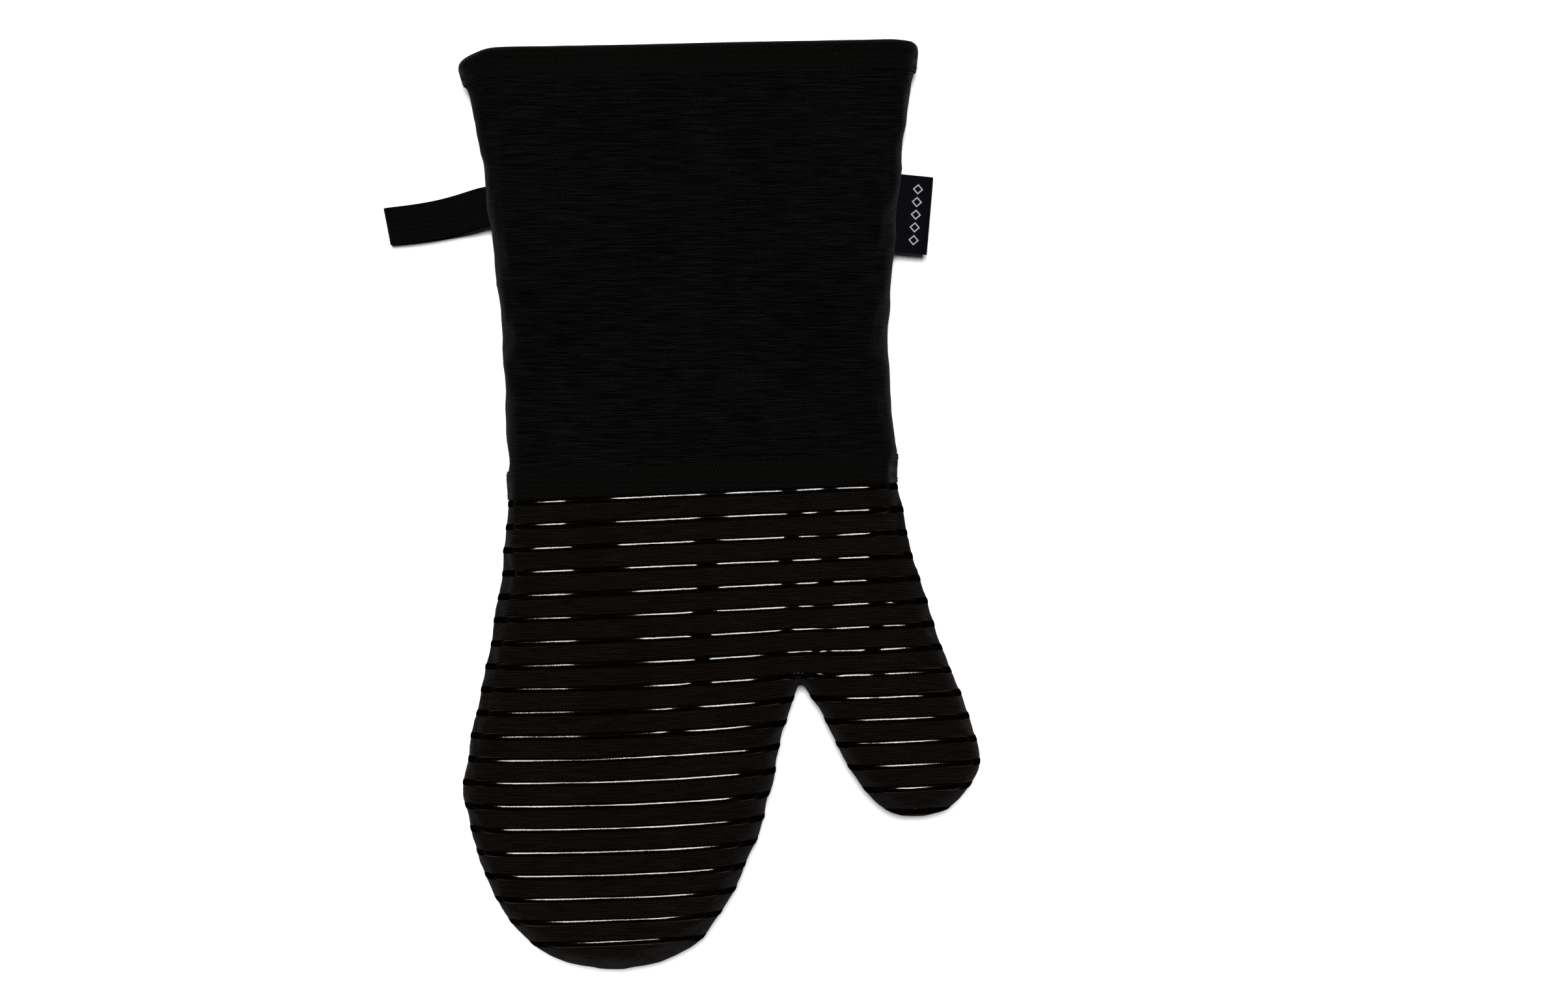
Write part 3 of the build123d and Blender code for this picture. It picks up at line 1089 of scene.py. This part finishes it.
def binding_form():
    """A band of the skin, turned over the rim and down the inside."""
    form = copy_of(skin)
    cut(form, Vector((0, BINDING_Y, 0)), -UP_MOUTH, drop_outer=True)
    cut(form, Vector((0, MOUTH_Y - RIM_RADIUS - RIM_ROOM, 0)), UP_MOUTH, drop_outer=True)
    lay_pattern(form)
    pulled_in(form, -BINDING_TAPE)
    laid_down(form, PROUD_FLOOR)
    form.normal_update()
    lower_edge = Vector((0, BINDING_Y, 0))
    rim = [edge for edge in form.edges if edge.is_boundary
           and (edge.verts[0].co - lower_edge).dot(UP_MOUTH) > 2 * MM]
    start_level = MOUTH_Y - RIM_RADIUS - RIM_ROOM
    inward, base = {}, {}
    for vert in {vert for edge in rim for vert in edge.verts}:
        normal = vert.normal - UP_MOUTH * vert.normal.dot(UP_MOUTH)
        inward[vert], base[vert] = -normal.normalized(), vert.co.copy()
    steps = [(0.0, RIM_ROOM)]
    for number in range(1, RIM_STEPS + 1):
        angle = math.pi * number / RIM_STEPS
        steps.append((RIM_RADIUS * (1 - math.cos(angle)), RIM_ROOM + RIM_RADIUS * math.sin(angle)))
    inside = BINDING_WIDTH - RIM_RADIUS
    for number in range(1, INSIDE_STEPS + 1):
        steps.append((2 * RIM_RADIUS, RIM_ROOM - inside * number / INSIDE_STEPS))
    layer = form.loops.layers.uv.verify()
    travelled, last = 0.0, (0.0, 0.0)
    for depth, rise in steps:
        travelled += math.hypot(depth - last[0], rise - last[1])
        last = (depth, rise)
        made = bmesh.ops.extrude_edge_only(form, edges=rim)["geom"]
        new_verts = [item for item in made if isinstance(item, bmesh.types.BMVert)]
        parents = {}
        for vert in new_verts:
            for edge in vert.link_edges:
                other = edge.other_vert(vert)
                if other in base and other not in new_verts:
                    parents[vert] = other
        for vert, parent in parents.items():
            base[vert], inward[vert] = base[parent], inward[parent]
            vert.co = base[vert] + inward[vert] * depth + UP_MOUTH * rise
        for face in [item for item in made if isinstance(item, bmesh.types.BMFace)]:
            for loop in face.loops:
                origin = base[loop.vert]
                reach = travelled if loop.vert in parents else travelled - 1 * MM
                loop[layer].uv = (origin.x, start_level + reach)
        rim = [item for item in made if isinstance(item, bmesh.types.BMEdge)]
    bmesh.ops.recalc_face_normals(form, faces=form.faces)
    return form


binding_band = band_tree(BINDING_Y, BINDING_Y + 4 * MM, UP_MOUTH, BINDING_TAPE)
binding_row = row_around(binding_band, BINDING_Y + STITCH_INSET, MOUTH_LEAN)
binding = finished("mouth_binding", binding_form(), TAPE_CLOTH, BINDING_TAPE)
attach(binding, "cuff")
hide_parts("mouth_binding")
print("mouth binding faces:", len(binding.data.polygons))
stitching("mouth_binding_stitching", [binding_row], "mouth_binding_stitching", None)

# %% [markdown]
# ## Hanging loop and label
# Both are strips: a grid is bent along a line drawn in the plane of its edge. The line is a
# smooth curve through a few places, given in mm out of the seam and up from the table, and
# walked in even steps, so the weave keeps its scale. Both are sewn into a seam: their roots
# start 4.5 mm inside it.

# %% A strip along a line
LOOP, LABEL = joints["loop_swing"], joints["label_flap"]
ROOT_INSIDE = 4.5


def smooth_line(points, steps):
    """Even steps along a smooth curve that starts and ends at the first and last points."""
    curve = bpy.data.curves.new("line", "CURVE")
    curve.dimensions = "3D"
    curve.resolution_u = 16
    spline = curve.splines.new("NURBS")
    spline.points.add(len(points) - 1)
    for place, point in zip(points, spline.points):
        point.co = (place[0], place[1], 0, 1)
    spline.order_u = 3
    spline.use_endpoint_u = True
    holder = in_scene("line", curve)
    graph = bpy.context.evaluated_depsgraph_get()
    track = [v.co.copy() for v in bpy.data.meshes.new_from_object(holder.evaluated_get(graph)).vertices]
    bpy.data.objects.remove(holder)
    travelled = [0.0]
    for before, here in zip(track, track[1:]):
        travelled.append(travelled[-1] + (here - before).length)
    total = travelled[-1]
    wanted = [total * step / steps for step in range(steps + 1)]
    xs = np.interp(wanted, travelled, [p.x for p in track])
    ys = np.interp(wanted, travelled, [p.y for p in track])
    return list(zip(xs, ys)), total


def strip(line, length, width, rows, place):
    """A grid bent along a line: place(out, up, across, share) says where each point goes."""
    form = bmesh.new()
    steps = len(line) - 1
    bmesh.ops.create_grid(form, x_segments=steps, y_segments=rows, size=1.0)
    layer = form.loops.layers.uv.verify()
    pattern = {}
    for vert in form.verts:
        share = (vert.co.x + 1) / 2
        across = vert.co.y * width / 2
        out, up = line[round(share * steps)]
        pattern[vert] = (share * length, across)
        vert.co = place(out, up, across, share)
    for face in form.faces:
        for loop in face.loops:
            loop[layer].uv = pattern[loop.vert]
    bmesh.ops.recalc_face_normals(form, faces=form.faces)
    return form


def sewn_frame(joint):
    """The seam's point, the direction out of it, and the direction along it."""
    axis = Vector(joint["axis"])
    return Vector(joint["pos_m"]), Vector((-axis.y, axis.x, 0)), axis


# %% [markdown]
# The loop is one length of the tape folded back on itself. Its two ends lie together in the
# seam, it slopes down to the table, and its fold stays a little open. The lower run is sewn in
# slightly skewed, as such loops are.

# %% Hanging loop
LOOP_WIDTH = 14.5 * MM
LOOP_TAPE = 1.0 * MM
LOOP_SAG = 1.1 * MM
LOOP_SKEW = 0.8 * MM
LOOP_LINE = [
    (-ROOT_INSIDE, 12.9), (1, 12.9), (14, 8.0), (25, 7.6), (33, 7.0), (37.2, 6.0), (37.3, 3.7),
    (36.6, 0.7), (31, 0.6), (24, 0.6), (15, 1.0), (3, 11.2), (-ROOT_INSIDE, 11.9),
]


def hanging_loop():
    root, out, along = sewn_frame(LOOP)
    line, length = smooth_line([(a * MM, b * MM) for a, b in LOOP_LINE], 90)
    reach = max(a for a, b in line)

    def place(outwards, up, across, share):
        bend = -LOOP_SAG * math.sin(math.pi * min(max(outwards / reach, 0), 1))
        skew = -LOOP_SKEW * eased(share, 0.5, 0.95)
        curl = 0.25 * MM * (across / (LOOP_WIDTH / 2)) ** 2
        level = Vector((root.x, root.y, 0)) + out * outwards + along * (across + bend + skew)
        return level + Vector((0, 0, up + curl))

    form = strip(line, length, LOOP_WIDTH, 10, place)
    loop = finished("hang_loop", form, TAPE_CLOTH, LOOP_TAPE, fold=False, offset=0)
    hem = loop.modifiers.new("edges", "BEVEL")
    hem.width = 0.28 * MM
    hem.segments = 2
    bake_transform(loop)
    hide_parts("hang_loop")
    print("hanging loop, tape length in mm:", round(length / MM, 1))


hanging_loop()

# %% [markdown]
# The label is satin, folded in half at its outer edge, and it droops a little. Its motif, a
# row of plain diamonds, is woven in paler thread that floats just above the ground.

# %% Label and its diamonds
LABEL_LENGTH = 30 * MM
LABEL_REACH = 11.4 * MM
LABEL_LEAF = 0.42 * MM
LEAF_LEVEL = 0.375 * MM
DIAMONDS = 5
DIAMOND_PITCH = 4.9 * MM
DIAMOND_SIZE = 4.0 * MM
DIAMOND_LINE = 0.62 * MM
DIAMOND_PROUD = 0.09 * MM


def label_point(outwards, up, across, _=None):
    """A place on the drooping label, from its distance out, its level and its place along."""
    root, out, along = sewn_frame(LABEL)
    share = outwards / LABEL_REACH
    droop = -1.3 * MM * share * share + 0.5 * MM * share * math.sin(across / LABEL_LENGTH * 4.2 + 0.5)
    return root + out * outwards + along * across + Vector((0, 0, up + droop))


def sewn_label(piece):
    """Bakes the label's transform into its mesh."""
    root, out, _ = sewn_frame(LABEL)
    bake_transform(piece)


def label():
    top = LEAF_LEVEL / MM
    tip = (LABEL_REACH - 1.2 * MM) / MM
    upper = [(-ROOT_INSIDE, top), (3, top), (tip - 2, top), (tip, top)]
    places = [*upper, (tip + 0.7, 0), *[(out, -up) for out, up in reversed(upper)]]
    line, length = smooth_line([(a * MM, b * MM) for a, b in places], 70)
    form = strip(line, length, LABEL_LENGTH, 30, label_point)
    piece = finished("label", form, LABEL_SATIN, LABEL_LEAF, fold=False, offset=0)
    sewn_label(piece)
    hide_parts("label")


def label_mark():
    form = bmesh.new()
    form.loops.layers.uv.verify()
    for number in range(DIAMONDS):
        middle = (number - (DIAMONDS - 1) / 2) * DIAMOND_PITCH
        outer = bmesh.ops.create_circle(form, segments=4, radius=DIAMOND_SIZE / 2, cap_ends=True,
                                        matrix=Matrix.Translation((LABEL_REACH * 0.47, middle, 0)))
        face = outer["verts"][0].link_faces[0]
        bmesh.ops.inset_individual(form, faces=[face], thickness=DIAMOND_LINE, depth=0)
        bmesh.ops.delete(form, geom=[face], context="FACES")
    bmesh.ops.subdivide_edges(form, edges=form.edges[:], cuts=3, use_grid_fill=True)
    layer = form.loops.layers.uv.verify()
    for face in form.faces:
        for loop in face.loops:
            loop[layer].uv = loop.vert.co.xy
    for vert in form.verts:
        vert.co = label_point(vert.co.x, LEAF_LEVEL + LABEL_LEAF / 2 + DIAMOND_PROUD, vert.co.y)
    form.normal_update()
    if sum(face.normal.z for face in form.faces) < 0:
        bmesh.ops.reverse_faces(form, faces=form.faces)
    piece = finished("label_mark", form, LABEL_THREAD, 0.2 * MM, fold=False)
    sewn_label(piece)
    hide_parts("label_mark")


label()
label_mark()
print("label diamonds:", DIAMONDS)

# %% [markdown]
# The working skins have done their job and are removed.

# %% Removing the working skins
for helper in (body, skin):
    bpy.data.objects.remove(helper)
